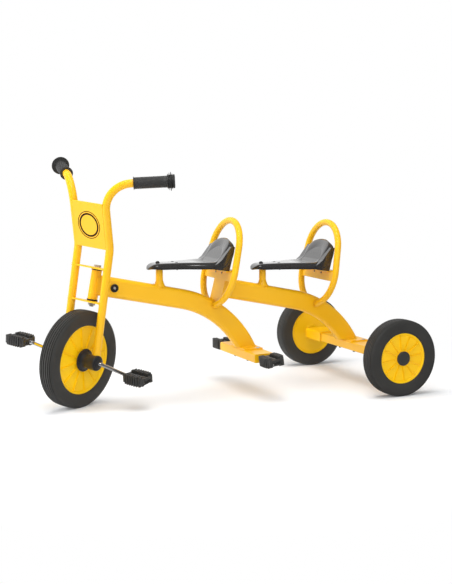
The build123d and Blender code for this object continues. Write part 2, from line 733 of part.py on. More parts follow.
# front wheel with its crank
steered["front_tyre"] = tyre(front_wheel_radius, front_rim_radius, front_hub)
steered["front_rim"] = rim(front_rim_radius, front_boss_radius, axle_radius, front_hub, 1)
flanges = []
for side in (1, -1):
    neck_y = housing_inner_y - side_clearance
    lip = rim_half + hub_flange_thickness
    outline = [(rim_half, axle_radius), (neck_y, axle_radius), (neck_y, hub_neck_radius),
               (lip + 1.5 * hub_neck_flare, hub_neck_radius + 0.2 * hub_neck_flare),
               (lip + 0.5 * hub_neck_flare, hub_neck_radius + hub_neck_flare),
               (lip, hub_flange_radius), (rim_half, hub_flange_radius)]
    flanges.append(revolve_about_y([(side * y, r) for y, r in outline], front_hub))
steered["hub_flanges"] = Compound(children=flanges)
steered["crank"] = crank()
for name, side in (("left", 1), ("right", -1)):
    centre = crank_point(side, 1, pedal_y)
    steered["pedal_" + name] = pedal(centre, side, axle_radius + running_clearance)
    centre = (footrest_bar_x, side * footrest_pedal_y, footrest_bar_z)
    nodes["footrest_pedal_" + name] = pedal(centre, side, axle_radius + running_clearance)
    centre = (0, side * rear_track / 2, rear_wheel_radius)
    nodes["rear_tyre_" + name] = tyre(rear_wheel_radius, rear_rim_radius, centre)
    nodes["rear_rim_" + name] = rim(rear_rim_radius, rear_boss_radius,
                                    rear_axle_radius + running_clearance, centre, side)
    cap_start = (0, side * (rear_track / 2 + rim_half), rear_wheel_radius)
    cap = [(0, 0), (side * hub_cap_depth, 0), (side * hub_cap_depth, hub_cap_radius * 0.7),
           (side * hub_cap_depth / 2, hub_cap_radius), (0, hub_cap_radius)]
    nodes["hub_cap_" + name] = revolve_about_y(cap, cap_start)

steering_line = Axis(tuple(head_centre), tuple(steer_axis))
for name, shape in steered.items():
    nodes[name] = shape.rotate(steering_line, parked_steer)

# origin under the middle of the tricycle
front_reach = max(shape.bounding_box().max.X for shape in nodes.values())
origin_x = (front_reach - rear_wheel_radius) / 2
for name in nodes:
    nodes[name] = Pos(-origin_x, 0, 0) * nodes[name]

os.makedirs("parts", exist_ok=True)
for name, shape in nodes.items():
    export_step(shape, "parts/" + name + ".step")
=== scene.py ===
"""Looks of the two-seat tricycle: finishes, moulded detail, hardware and a plain studio."""
import json
from math import cos, pi, radians, sin, tan

import bmesh
import bpy
from mathutils import Matrix, Vector, noise


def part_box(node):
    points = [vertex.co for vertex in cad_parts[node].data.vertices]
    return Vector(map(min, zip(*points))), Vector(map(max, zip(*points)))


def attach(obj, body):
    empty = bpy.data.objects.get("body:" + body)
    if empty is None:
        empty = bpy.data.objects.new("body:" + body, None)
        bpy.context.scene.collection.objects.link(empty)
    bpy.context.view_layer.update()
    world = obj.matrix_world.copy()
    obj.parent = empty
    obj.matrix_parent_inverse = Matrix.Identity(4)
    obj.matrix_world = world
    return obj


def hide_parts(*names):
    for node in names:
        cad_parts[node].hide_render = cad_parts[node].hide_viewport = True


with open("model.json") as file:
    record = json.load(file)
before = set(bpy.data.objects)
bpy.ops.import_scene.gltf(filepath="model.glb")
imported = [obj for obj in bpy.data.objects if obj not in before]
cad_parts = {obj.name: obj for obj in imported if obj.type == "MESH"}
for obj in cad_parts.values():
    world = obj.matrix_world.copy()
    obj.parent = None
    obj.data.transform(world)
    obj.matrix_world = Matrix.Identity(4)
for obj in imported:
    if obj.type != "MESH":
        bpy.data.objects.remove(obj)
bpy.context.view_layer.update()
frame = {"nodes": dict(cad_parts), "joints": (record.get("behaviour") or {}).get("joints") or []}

# ---------------------------------------------------------------- placing
# Points are written in millimetres from under the rear axle, with the steering straight ahead.
# FIXED places them on the frame, and STEERED on the fork, which stands turned at rest. WORLD only
# turns millimetres into metres.
Y_AXIS = Vector((0, 1, 0))
Z_AXIS = Vector((0, 0, 1))
SIDES = (("left", 1), ("right", -1))    # the rider's left is towards +Y
JOINTS = {joint["name"]: joint for joint in frame["joints"]}
WORLD = Matrix.Scale(0.001, 4)
axle_low, axle_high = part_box("rear_axle_shaft")
FIXED = Matrix.Translation(((axle_low[0] + axle_high[0]) / 2, 0, 0)) @ WORLD


def anchor(joint, place=FIXED):
    """A joint's anchor as a point in millimetres."""
    return place.inverted() @ Vector(JOINTS[joint]["pos_m"])


HEAD = anchor("steering")
STEER_AXIS = Vector(JOINTS["steering"]["axis"])
rest_turn = Y_AXIS.rotation_difference(Vector(JOINTS["front_wheel_spin"]["axis"])).to_matrix().to_4x4()
TURN = Matrix.Translation(HEAD) @ rest_turn @ Matrix.Translation(-HEAD)
STEERED = FIXED @ TURN
HUB = anchor("front_wheel_spin", STEERED)


def aim(origin, direction):
    """Matrix that puts local +Z along a direction at a point."""
    turn = Vector(direction).to_track_quat("Z", "Y").to_matrix().to_4x4()
    return Matrix.Translation(Vector(origin)) @ turn


def on_side(point, side):
    """The point itself for the left side, 1, or its mirror image for the right side, -1."""
    return Vector((point.x, side * point.y, point.z))


# ---------------------------------------------------------------- shader nodes
def nodes_of(name):
    """New node material: its node tree, shader and object coordinates."""
    material = bpy.data.materials.new(name)
    material.use_nodes = True
    tree = material.node_tree
    shader = tree.nodes["Principled BSDF"]
    place = tree.nodes.new("ShaderNodeTexCoord")
    return material, tree, shader, place.outputs["Object"]


def speckle(tree, where, scale, detail):
    """Noise texture over the object's own coordinates."""
    node = tree.nodes.new("ShaderNodeTexNoise")
    node.inputs["Scale"].default_value = scale
    node.inputs["Detail"].default_value = detail
    node.inputs["Roughness"].default_value = 0.55
    tree.links.new(where, node.inputs["Vector"])
    return node.outputs["Fac"]


def ramp(tree, factor, stops):
    """Colour ramp over a factor; stops are (place, colour)."""
    node = tree.nodes.new("ShaderNodeValToRGB")
    elements = node.color_ramp.elements
    for element, (place, colour) in zip(elements, stops):
        element.position = place
        element.color = (*colour, 1)
    tree.links.new(factor, node.inputs["Fac"])
    return node.outputs["Color"]


def stretch(tree, value, from_range, to_range):
    """Value mapped from one range to another and clamped."""
    node = tree.nodes.new("ShaderNodeMapRange")
    for name, number in zip(("From Min", "From Max", "To Min", "To Max"), (*from_range, *to_range)):
        node.inputs[name].default_value = number
    tree.links.new(value, node.inputs["Value"])
    return node.outputs["Result"]


def bump(tree, shader, factor, strength):
    """Fine bump from a factor on the shader's normal."""
    node = tree.nodes.new("ShaderNodeBump")
    node.inputs["Strength"].default_value = strength
    node.inputs["Distance"].default_value = 0.0004
    tree.links.new(factor, node.inputs["Height"])
    tree.links.new(node.outputs["Normal"], shader.inputs["Normal"])


def math_node(tree, operation, first, second):
    """Maths node over two sockets or numbers."""
    node = tree.nodes.new("ShaderNodeMath")
    node.operation = operation
    for socket, value in zip(node.inputs, (first, second)):
        if isinstance(value, (int, float)):
            socket.default_value = value
        else:
            tree.links.new(value, socket)
    return node.outputs[0]


def emission(tree, strength):
    """White glow of a fixed or linked strength."""
    node = tree.nodes.new("ShaderNodeEmission")
    if isinstance(strength, (int, float)):
        node.inputs["Strength"].default_value = strength
    else:
        tree.links.new(strength, node.inputs["Strength"])
    return node.outputs[0]


def mix(tree, factor, first, second):
    """Shader that runs from the first to the second with a factor."""
    node = tree.nodes.new("ShaderNodeMixShader")
    for socket, output in zip(node.inputs, (factor, first, second)):
        tree.links.new(output, socket)
    return node.outputs[0]


# ---------------------------------------------------------------- finishes
DRIFT_SCALE = 9.0       # noise cells in a metre for the slow drift of colour
GLOSS_SCALE = 25.0      # and for the uneven gloss


def finish(name, light, dark, roughness, coat=0.0, metal=0.0, grain=600.0, depth=0.02, specular=0.5):
    """Coloured surface with slow colour drift, uneven gloss and, with a depth, a fine grain."""
    material, tree, shader, where = nodes_of(name)
    drift = speckle(tree, where, DRIFT_SCALE, 2.0)
    tree.links.new(ramp(tree, drift, [(0.35, dark), (0.65, light)]), shader.inputs["Base Color"])
    uneven = stretch(tree, speckle(tree, where, GLOSS_SCALE, 1.0), (0.3, 0.7),
                     (roughness * 0.93, roughness * 1.08))
    tree.links.new(uneven, shader.inputs["Roughness"])
    if depth:
        bump(tree, shader, speckle(tree, where, grain, 2.0), depth)
    shader.inputs["Metallic"].default_value = metal
    shader.inputs["Specular IOR Level"].default_value = specular
    shader.inputs["Coat Weight"].default_value = coat
    shader.inputs["Coat Roughness"].default_value = 0.12
    return material


# each finish has its lightest and darkest colour and its roughness
paint = finish("yellow_paint", (0.94, 0.505, 0.003), (0.92, 0.485, 0.003), 0.34,
               depth=0.0, specular=0.62)
wheel_paint = finish("wheel_moulding", (0.98, 0.60, 0.003), (0.96, 0.57, 0.003), 0.42,
                     depth=0.0, specular=0.3)
seat_plastic = finish("seat_moulding", (0.024, 0.023, 0.022), (0.019, 0.018, 0.018), 0.20,
                      coat=1.0, depth=0.0, specular=0.8)
black_plastic = finish("black_moulding", (0.022, 0.022, 0.023), (0.017, 0.017, 0.018), 0.32,
                       coat=0.1, grain=1200.0, depth=0.03)
pedal_plastic = finish("pedal_moulding", (0.050, 0.049, 0.047), (0.040, 0.039, 0.038), 0.42,
                       grain=1200.0, depth=0.03)
tyre_rubber = finish("tyre_rubber", (0.044, 0.043, 0.040), (0.036, 0.035, 0.033), 0.50,
                     grain=900.0, depth=0.05)
grip_rubber = finish("grip_rubber", (0.042, 0.042, 0.041), (0.034, 0.034, 0.033), 0.46,
                     grain=1400.0, depth=0.05)
chrome = finish("chrome", (0.80, 0.80, 0.82), (0.74, 0.74, 0.76), 0.12,
                metal=1.0, grain=300.0, depth=0.005)
zinc = finish("zinc_steel", (0.66, 0.65, 0.64), (0.54, 0.53, 0.52), 0.45,
              metal=0.55, grain=1800.0, depth=0.03)
gunmetal = finish("dark_steel", (0.20, 0.19, 0.19), (0.13, 0.13, 0.13), 0.30,
                  metal=1.0, grain=1800.0, depth=0.03)
print_ink = finish("ring_print", (0.030, 0.016, 0.010), (0.024, 0.013, 0.008), 0.6, specular=0.05)

CAD_FINISH = {
    "front_beam rear_beam head_tube hoop_front hoop_rear seat_post_front seat_post_rear "
    "seat_bracket_front seat_bracket_rear footrest_bar rear_axle_bar footrest_mount_plate "
    "rear_axle_mount_plate axle_bracket_left axle_bracket_right fork_tube_left fork_tube_right "
    "front_plate upper_yoke lower_yoke": paint,
    "front_rim rear_rim_left rear_rim_right": wheel_paint,
    "seat_front seat_rear": seat_plastic,
    "head_bushings steering_stops axle_housing_left axle_housing_right hub_flanges pedal_left "
    "pedal_right footrest_pedal_left footrest_pedal_right hub_cap_left hub_cap_right": black_plastic,
    "front_tyre rear_tyre_left rear_tyre_right": tyre_rubber,
    "grip_left grip_right": grip_rubber,
    "crank": chrome,
    "steering_bolt rear_axle_shaft": zinc,
    "footrest_spindle": gunmetal,
}
for names, material in CAD_FINISH.items():
    for name in names.split():
        slots = frame["nodes"][name].data.materials
        if len(slots):
            for index in range(len(slots)):
                slots[index] = material
        else:
            slots.append(material)


# ---------------------------------------------------------------- mesh helpers
def add(bm, name, material, body, place, replaces=(), sharp=34):
    """Turns a millimetre mesh into a piece on a CAD body; edges over sharp degrees stay hard."""
    bm.transform(place)
    bmesh.ops.recalc_face_normals(bm, faces=bm.faces)
    for face in bm.faces:
        face.smooth = True
    for edge in bm.edges:
        edge.smooth = len(edge.link_faces) != 2 or edge.calc_face_angle(0) < radians(sharp)
    mesh = bpy.data.meshes.new(name)
    bm.to_mesh(mesh)
    bm.free()
    mesh.materials.append(material)
    piece = bpy.data.objects.new(name, mesh)
    bpy.context.scene.collection.objects.link(piece)
    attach(piece, body)
    if replaces:
        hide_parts(*replaces)


def join(bm, low, high):
    """Faces between two rings of vertices; either may be a single point."""
    count = max(len(low), len(high))
    for i in range(count):
        j = (i + 1) % count
        if len(low) == 1:
            bm.faces.new((low[0], high[j], high[i]))
        elif len(high) == 1:
            bm.faces.new((low[i], low[j], high[0]))
        else:
            bm.faces.new((low[i], low[j], high[j], high[i]))


def lathe(profile, segments, ripple=None):
    """Surface of revolution about Z; profile is (z, radius), ripple scales the radius."""
    bm = bmesh.new()
    rings = []
    for z, radius in profile:
        if radius < 1e-6:
            rings.append([bm.verts.new((0, 0, z))])
            continue
        ring = []
        for i in range(segments):
            angle = 2 * pi * i / segments
            r = radius * (ripple(z, angle) if ripple else 1)
            ring.append(bm.verts.new((r * cos(angle), r * sin(angle), z)))
        rings.append(ring)
    for low, high in zip(rings, rings[1:]):
        join(bm, low, high)
    return bm


def soften(points, radius):
    """Profile with short curves for all its corners but the first and the last point."""
    steps = 3
    result = [points[0]]
    for before, corner, after in zip(points, points[1:], points[2:]):
        a, b, c = Vector(before), Vector(corner), Vector(after)
        cut = min(radius, (a - b).length * 0.45, (c - b).length * 0.45)
        if cut < 1e-4:
            result.append(tuple(b))
            continue
        start = b + (a - b).normalized() * cut
        end = b + (c - b).normalized() * cut
        for i in range(steps + 1):
            t = i / steps
            result.append(tuple(start * (1 - t) ** 2 + b * 2 * t * (1 - t) + end * t ** 2))
    result.append(points[-1])
    return result


def block(bm, size, place, bevel=0.0, segments=2):
    """Box, with rounded edges where it has a bevel."""
    made = bmesh.ops.create_cube(bm, size=1.0)["verts"]
    for vert in made:
        vert.co = Vector((vert.co.x * size[0], vert.co.y * size[1], vert.co.z * size[2]))
    if bevel:
        edges = list(dict.fromkeys(edge for vert in made for edge in vert.link_edges))
        grown = bmesh.ops.bevel(bm, geom=edges, offset=bevel, segments=segments, affect="EDGES",
                                profile=0.5)
        made = list({vert for face in grown["faces"] for vert in face.verts}
                    | {vert for vert in made if vert.is_valid})
    bmesh.ops.transform(bm, matrix=place, verts=made)


def merge(target, source, place=None):
    """Moves one millimetre mesh into another, at a place where one is given."""
    mesh = bpy.data.meshes.new("scratch")
    if place is not None:
        source.transform(place)
    source.to_mesh(mesh)
    source.free()
    target.from_mesh(mesh)
    bpy.data.meshes.remove(mesh)


def close_ends(bm, rings):
    """Faces over the first and the last ring."""
    bm.faces.new(rings[0])
    bm.faces.new(rings[-1])


def bead(points, radius, closed=True):
    """Weld bead: a rippled tube along points."""
    segments = 8
    bm = bmesh.new()
    count = len(points)
    rings = []
    for i, point in enumerate(points):
        ahead = points[(i + 1) % count] if closed or i + 1 < count else point
        behind = points[i - 1] if closed or i else point
        section = aim(point, Vector(ahead) - Vector(behind))
        size = radius * (1 + 0.14 * sin(i * 2.1) + 0.12 * noise.noise(Vector(point) * 0.15))
        rings.append([bm.verts.new(section @ Vector((size * cos(2 * pi * k / segments),
                                                     size * sin(2 * pi * k / segments), 0)))
                      for k in range(segments)])
    pairs = list(zip(rings, rings[1:]))
    if closed:
        last, first = rings[-1], rings[0]
        shift = min(range(segments), key=lambda k: (last[0].co - first[k].co).length)
        pairs.append((last, first[shift:] + first[:shift]))
    for low, high in pairs:
        join(bm, low, high)
    if not closed:
        close_ends(bm, rings)
    return bm


def bent_path(corners, bends):
    """Centre line of a bent tube: straight runs joined by arcs with the radii in bends."""
    step = 3.0
    points = [corners[0]]
    for before, corner, after, bend in zip(corners, corners[1:], corners[2:], bends):
        into = (corner - before).normalized()
        out = (after - corner).normalized()
        turn = into.angle(out)
        centre = corner + (out - into).normalized() * bend / cos(turn / 2)
        start = corner - into * bend * tan(turn / 2) - centre
        count = max(4, int(turn * bend / step))
        points += [centre + Matrix.Rotation(turn * k / count, 3, into.cross(out)) @ start
                   for k in range(count + 1)]
    points.append(corners[-1])
    return [point for i, point in enumerate(points) if i == 0 or (point - points[i - 1]).length > 0.5]


def tube(points, radius):
    """Round tube along a line, with closed ends."""
    segments = 36
    bm = bmesh.new()
    rings = []
    side = None
    for i, point in enumerate(points):
        ahead = (points[min(i + 1, len(points) - 1)] - points[max(i - 1, 0)]).normalized()
        side = side or ahead.orthogonal().normalized()
        side = (side - ahead * side.dot(ahead)).normalized()
        up = ahead.cross(side)
        rings.append([bm.verts.new(point + side * (radius * cos(2 * pi * k / segments))
                                   + up * (radius * sin(2 * pi * k / segments)))
                      for k in range(segments)])
    for low, high in zip(rings, rings[1:]):
        join(bm, low, high)
    close_ends(bm, rings)
    return bm


# ---------------------------------------------------------------- hoops, posts and fork tubes
HOOP_TUBE = 9.5
HOOP_BELLY = 41.0                       # from the foot to the widest corners, along the hoop's lean
HOOP_HALF_WIDTHS = (22.4, 108.2, 75.6)  # at the foot, the belly and the crown
HOOP_BENDS = (90.0, 88.0, 88.0, 90.0)
# the centre of each hoop at its foot and at its crown
HOOPS = {"front": (Vector((467.3, 0, 259.49)), Vector((406.5, 0, 498.0))),
         "rear": (Vector((135.8, 0, 242.5)), Vector((89.9, 0, 482.0)))}
# each seat post's place along the tricycle, foot and top
POSTS = {"front": (630.0, 323.5, 369.0), "rear": (305.5, 307.5, 353.0)}
FORK_TUBE = 11.0
FORK_BENDS = (70.0, 72.0)
# corners of the left fork tube, from the axle past both ends of the plate to the end of the bar
FORK_LINE = [Vector((867.5, 56.5, 152.21)), Vector((829.5, 56.5, 442.0)), Vector((866.0, 56.5, 619.0)),
             Vector((754.5, 202.5, 638.5))]


def hoop_line(foot, crown):
    """Corners of a hoop, from its left foot over the crown to its right foot."""
    belly = foot.lerp(crown, HOOP_BELLY / (crown - foot).length)
    left = [centre + Y_AXIS * half for centre, half in zip((foot, belly, crown), HOOP_HALF_WIDTHS)]
    return left + [on_side(corner, -1) for corner in reversed(left)]


def post_mesh(length):
    """Seat post on a flared foot."""
    return lathe(soften([(-5.0, 0.0), (-5.0, 16.0), (0.0, 15.4), (6.0, 12.6), (14.0, 10.2), (length, 9.9),
                         (length, 0.0)], 2.5), 40)


for word, ends in HOOPS.items():
    add(tube(bent_path(hoop_line(*ends), HOOP_BENDS), HOOP_TUBE), "hoop_" + word + "_tube", paint, "frame",
        FIXED, ("hoop_" + word,))
for word, (x, low, high) in POSTS.items():
    add(post_mesh(high - low), "seat_post_" + word + "_flared", paint, "frame",
        FIXED @ Matrix.Translation((x, 0, low)), ("seat_post_" + word,))
for word, side in SIDES:
    line = [on_side(corner, side) for corner in FORK_LINE]
    add(tube(bent_path(line, FORK_BENDS), FORK_TUBE), "fork_tube_" + word + "_bent", paint, "steering",
        STEERED, ("fork_tube_" + word,))


# ---------------------------------------------------------------- wheels
FRONT_RADIUS = 135.0
FRONT_RIM = 95.5
FRONT_BOSS = 24.0
REAR_RADIUS = 110.0
REAR_RIM = 72.5
REAR_BOSS = 20.0
HALF_TYRE = 23.0
HALF_RIM = 20.0
BORE = 7.0
GROOVES = (4.0, 11.2, 17.6)     # centres of the grooves on each side of the tread's middle
GROOVE_DEPTH = 2.6
GROOVE_TOP = 1.7                # half a groove's width at the tread
GROOVE_FLOOR = 1.0              # and at its floor
TREAD_CROWN = 2.4               # how far the tread falls towards its edges
RIBS = 12
RIB_TURN = 0.12                 # angle of the first rib
RIB_HEIGHT = 14.0               # from the wheel's middle to the middle of a rib


def tyre_profile(radius, rim_radius):
    """Tyre section (across, radius) with a bead, bulged walls and six grooves in the tread."""
    right = [(0.0, radius)]
    for centre in GROOVES:
        crown = radius - (centre / HALF_TYRE) ** 4 * TREAD_CROWN
        right += [(centre - GROOVE_TOP, crown), (centre - GROOVE_FLOOR, crown - GROOVE_DEPTH),
                  (centre + GROOVE_FLOOR, crown - GROOVE_DEPTH), (centre + GROOVE_TOP, crown - 0.1)]
    right += [(20.9, radius - 2.9), (22.3, radius - 5.6), (22.9, radius - 9.3), (HALF_TYRE, radius - 14.0),
              (22.7, rim_radius + 8.0), (22.0, rim_radius + 3.0), (20.8, rim_radius + 0.8),
              (19.0, rim_radius), (19.0, rim_radius - 0.5)]
    return [(-y, r) for y, r in reversed(right[1:])] + right


def tyre(name, radius, rim_radius, centre, body, place):
    """Tyre with its tread, about an axle along Y."""
    add(lathe(tyre_profile(radius, rim_radius), 120), name + "_treaded", tyre_rubber, body,
        place @ aim(centre, Y_AXIS), (name,), 28)


def rib_mesh(length):
    """Rib along Z with its raised face towards +Y, slimmer on top and lower at its outer end."""
    bm = bmesh.new()
    block(bm, (3.4, 7.4, length), Matrix())
    for vert in bm.verts:
        if vert.co.y > 0:
            vert.co.x *= 0.42
            vert.co.y -= 0.7 if vert.co.z > 0 else 0.0
    bmesh.ops.bevel(bm, geom=list(bm.edges), offset=0.45, segments=2, affect="EDGES")
    return bm


def wheel_disc(name, radius, boss, centre, side, body, place):
    """Moulded disc: rounded lip, dished web, slim ribs and a boss; plain inner face."""
    profile = soften([(-19.5, boss + 1.0), (-17.0, boss + 4), (-16.0, radius - 9), (-18.8, radius - 5),
                      (-HALF_RIM, radius - 1.2), (-19.0, radius), (19.0, radius), (HALF_RIM, radius - 1.4),
                      (18.6, radius - 4.6), (13.6, radius - 7.6), (13.0, radius * 0.6), (13.2, boss + 5),
                      (14.6, boss + 1.5), (19.0, boss), (HALF_RIM, boss - 2.0), (HALF_RIM, BORE)], 1.6)
    bm = lathe([(-19.5, BORE)] + profile, 120)
    inner, outer = boss + 1.0, radius - 6.0
    # lays a rib's length along the disc's radius and its raised face outwards
    lay = Matrix(((1, 0, 0, 0), (0, 0, 1, (inner + outer) / 2), (0, 1, 0, RIB_HEIGHT), (0, 0, 0, 1)))
    for index in range(RIBS):
        turn = Matrix.Rotation(2 * pi * index / RIBS + RIB_TURN, 4, "Z")
        merge(bm, rib_mesh(outer - inner), turn @ lay)
    add(bm, name + "_moulded", wheel_paint, body, place @ aim(centre, Y_AXIS * side),
        (name,), 30)


def hub_cap(word, centre, side):
    """Pressed cap over the outer end of a rear wheel's bore."""
    outline = soften([(-0.5, 20.6), (2.6, 20.9), (4.6, 19.8), (5.4, 16.4), (5.0, 14.8), (5.8, 9.0),
                      (6.0, 0.0)], 1.2)
    add(lathe(outline, 64), "hub_cap_" + word + "_pressed", pedal_plastic, "rear_wheel_" + word,
        FIXED @ aim(centre + Y_AXIS * (HALF_RIM * side), Y_AXIS * side),
        ("hub_cap_" + word,))


tyre("front_tyre", FRONT_RADIUS, FRONT_RIM, HUB, "front_wheel", STEERED)
wheel_disc("front_rim", FRONT_RIM, FRONT_BOSS, HUB, 1, "front_wheel", STEERED)
for word, side in SIDES:
    body = "rear_wheel_" + word
    centre = anchor(body + "_spin")
    tyre("rear_tyre_" + word, REAR_RADIUS, REAR_RIM, centre, body, FIXED)
    wheel_disc("rear_rim_" + word, REAR_RIM, REAR_BOSS, centre, side, body, FIXED)
    hub_cap(word, centre, side)


# ---------------------------------------------------------------- front hub
LUGS = 6
LUG_CIRCLE = 27.6       # radius of the circle that the lugs stand on


def hub_half():
    """Dished flange with a flared neck, and the lugs on its face."""
    outline = soften([(20.0, 5.2), (20.0, 31.4), (21.0, 32.0), (22.8, 31.2), (23.2, 28.0), (24.6, 23.0),
                      (29.0, 18.6), (36.0, 17.2), (42.3, 17.0), (42.4, 5.2)], 1.0)
    bm = lathe(outline, 72)
    for index in range(LUGS):
        lug = lathe(soften([(-0.6, 2.6), (0.6, 2.6), (1.2, 1.8), (1.3, 0.0)], 0.4), 16)
        merge(bm, lug, Matrix.Rotation(2 * pi * index / LUGS, 4, "Z")
              @ Matrix.Translation((LUG_CIRCLE, 0, 23.4)))
    return bm


flanges = bmesh.new()
for side in (1, -1):
    merge(flanges, hub_half(), aim(HUB, Y_AXIS * side))
add(flanges, "hub_flanges_moulded", black_plastic, "front_wheel", STEERED,
    ("hub_flanges",), 40)

# ---------------------------------------------------------------- grips
GRIP_START = 26.0       # where the padded sleeve begins, past the rings at the outer end
GRIP_STOP = 104.0
PAD_PITCH = 3.0         # from one row of pads to the next
PADS_ROUND = 28         # in a row
SLEEVE_STEPS = 156


def grip_pads(z, angle):
    """Rows of small raised pads round the sleeve."""
    if z < GRIP_START or z > GRIP_STOP:
        return 1.0
    row = 0.5 + 0.5 * cos(2 * pi * (z - GRIP_START) / PAD_PITCH)
    pad = 0.5 + 0.5 * cos(PADS_ROUND * angle)
    return 1.0 - 0.045 * (1 - row ** 0.6) - 0.022 * (1 - pad ** 0.6) * row


def grip_mesh():
    """Grip from its closed outer end: four rings, the sleeve with its pads and a small lip."""
    outline = [(-4.0, 0.0), (-4.0, 13.0), (-3.4, 17.6), (-2.0, 18.6), (0.0, 18.8), (0.6, 17.4), (2.0, 17.4),
               (2.6, 20.6), (3.8, 20.6), (4.4, 17.6), (5.6, 17.6), (6.2, 24.6), (7.0, 25.0), (8.0, 24.6),
               (8.6, 17.8), (10.2, 17.8), (10.8, 22.8), (12.0, 22.8), (12.6, 17.6), (14.0, 17.2),
               (14.6, 20.4), (15.8, 20.4), (16.4, 16.6), (18.0, 15.8), (GRIP_START, 15.7)]
    outline += [(GRIP_START + (GRIP_STOP - GRIP_START) * i / SLEEVE_STEPS, 15.9)
                for i in range(1, SLEEVE_STEPS + 1)]
    outline += [(104.4, 15.6), (104.8, 17.6), (105.6, 18.0), (106.0, 16.0), (106.0, FORK_TUBE + 0.1)]
    return lathe(outline, 84, grip_pads)


for word, side in SIDES:
    end = on_side(FORK_LINE[-1], side)
    add(grip_mesh(), "grip_" + word + "_ribbed", grip_rubber, "steering",
        STEERED @ aim(end, on_side(FORK_LINE[-2], side) - end), ("grip_" + word,), 42)


# ---------------------------------------------------------------- pedals
PEDAL_TILT = radians(8)     # the left pedals stand tipped about their spindles
TEETH = 9
TOOTH_PITCH = 8.0


def pedal_tooth(bm, across, index):
    """Tooth on an edge of a pedal: the outermost are lower, and the row is rounded at its ends."""
    steps_out = abs(index - TEETH // 2)
    outer = 28.2 - (0.0, 0.0, 0.5, 2.2, 6.0)[steps_out]
    last = steps_out == TEETH // 2
    inner = 13.5 if last else 10.5
    middle = Vector((across * (outer + inner) / 2, (index - TEETH // 2) * TOOTH_PITCH, 0))
    block(bm, (outer - inner, 4.0, 23.0 if last else 28.6), Matrix.Translation(middle), 0.9)


def pedal_mesh(side):
    """Pedal about its barrel along Y: toothed pads with slanted cleats, slotted ends and three webs."""
    bm = bmesh.new()
    for across in (1, -1):
        for index in range(TEETH):
            pedal_tooth(bm, across, index)
        block(bm, (11.4, 66.0, 15.0), Matrix.Translation((across * 17.4, 0, 0)), 1.4)
    for across in (1, -1):
        for height in (8.6, -8.6):
            for index in range(4):
                cleat = Matrix.Translation((across * 17.6, (index - 1.5) * 16.0, height))
                block(bm, (15.0, 5.0, 9.6), cleat @ Matrix.Rotation(0.5 * across, 4, "Z"), 0.8, 1)
    for end in (1, -1):
        block(bm, (27.0, 5.4, 7.4), Matrix.Translation((0, end * 32.2, 4.8)), 1.6)
        block(bm, (27.0, 5.4, 3.6), Matrix.Translation((0, end * 32.2, -7.6)), 1.2)
    barrel = lathe(soften([(-34.8, 5.3), (-34.8, 8.0), (-30.0, 9.0), (26.4, 9.0), (28.8, 7.0), (29.2, 0.0)],
                          1.2), 32)
    merge(bm, barrel, aim((0, 0, 0), Y_AXIS * side))
    for y in (-17.0, 0.0, 17.0):
        block(bm, (25.0, 2.6, 10.0), Matrix.Translation((0, y, 0)), 0.6, 1)
    if side > 0:
        bm.transform(Matrix.Rotation(PEDAL_TILT, 4, "Y"))
    return bm


def pedal(name, side, place):
    """Pedal on its own body, at that body's joint."""
    centre = anchor(name + "_spin", place)
    add(pedal_mesh(side), name + "_toothed", pedal_plastic, name,
        place @ Matrix.Translation(centre), (name,), 30)


for word, side in SIDES:
    pedal("pedal_" + word, side, STEERED)
    pedal("footrest_pedal_" + word, side, FIXED)


# ---------------------------------------------------------------- seats
SEAT_NOSES = {"front": Vector((668.0, 0, 371.0)), "rear": Vector((343.5, 0, 355.0))}
# back, up, lean in degrees, half width, thickness at each station from the nose to the crest
STATIONS = [(0.8, -1.2, 50, 3.4, 2.2), (1.2, 0.4, 38, 6.6, 3.7), (6.8, 7.7, 28, 20.0, 9.4),
            (19.0, 14.0, 12, 28.5, 15.5), (36.0, 15.5, 0, 32.0, 17.5), (70.0, 15.5, 0, 35.5, 18.0),
            (105.0, 15.5, 0, 43.0, 18.5), (140.0, 15.5, 0, 57.0, 19.0), (165.0, 15.5, 0, 66.0, 19.0),
            (186.0, 16.5, 12, 70.0, 21.0), (199.0, 23.5, 40, 71.0, 27.0), (211.0, 38.5, 56, 71.0, 25.0),
            (224.0, 57.5, 57, 67.0, 19.0), (233.5, 69.5, 52, 52.0, 13.0), (240.0, 75.5, 40, 30.0, 6.0),
            (243.5, 77.3, 20, 12.0, 2.0)]
ROWS_PER_STATION = 5
EDGE_POINTS = 9         # round each edge of a section
TOP_POINTS = 6          # from an edge to the middle
HOLLOW_DEPTH = 8.0
HOLLOW_BACK = 186.0     # from the nose to the middle of the hollow
HOLLOW_REACH = 60.0     # half its length
HOLLOW_HALF = 58.0      # half its width
CHEEK_HALF = 70.4       # from the seat's middle to the outside of a cheek


def between(rows, t):
    """Smooth value between rows of numbers, t from 0 to len - 1."""
    i = min(int(t), len(rows) - 2)
    f = t - i
    a, b = rows[max(i - 1, 0)], rows[i]
    c, d = rows[i + 1], rows[min(i + 2, len(rows) - 1)]
    return [0.5 * (2 * q + (r - p) * f + (2 * p - 5 * q + 4 * r - s) * f ** 2
                   + (3 * q - p - 3 * r + s) * f ** 3) for p, q, r, s in zip(a, b, c, d)]


def hollow(x, y):
    """Depth of the dished sitting surface at a point in the seat's own plan."""
    along = (x + HOLLOW_BACK) / HOLLOW_REACH
    across = y / HOLLOW_HALF
    return HOLLOW_DEPTH * max(0.0, 1 - along * along - across * across) ** 2


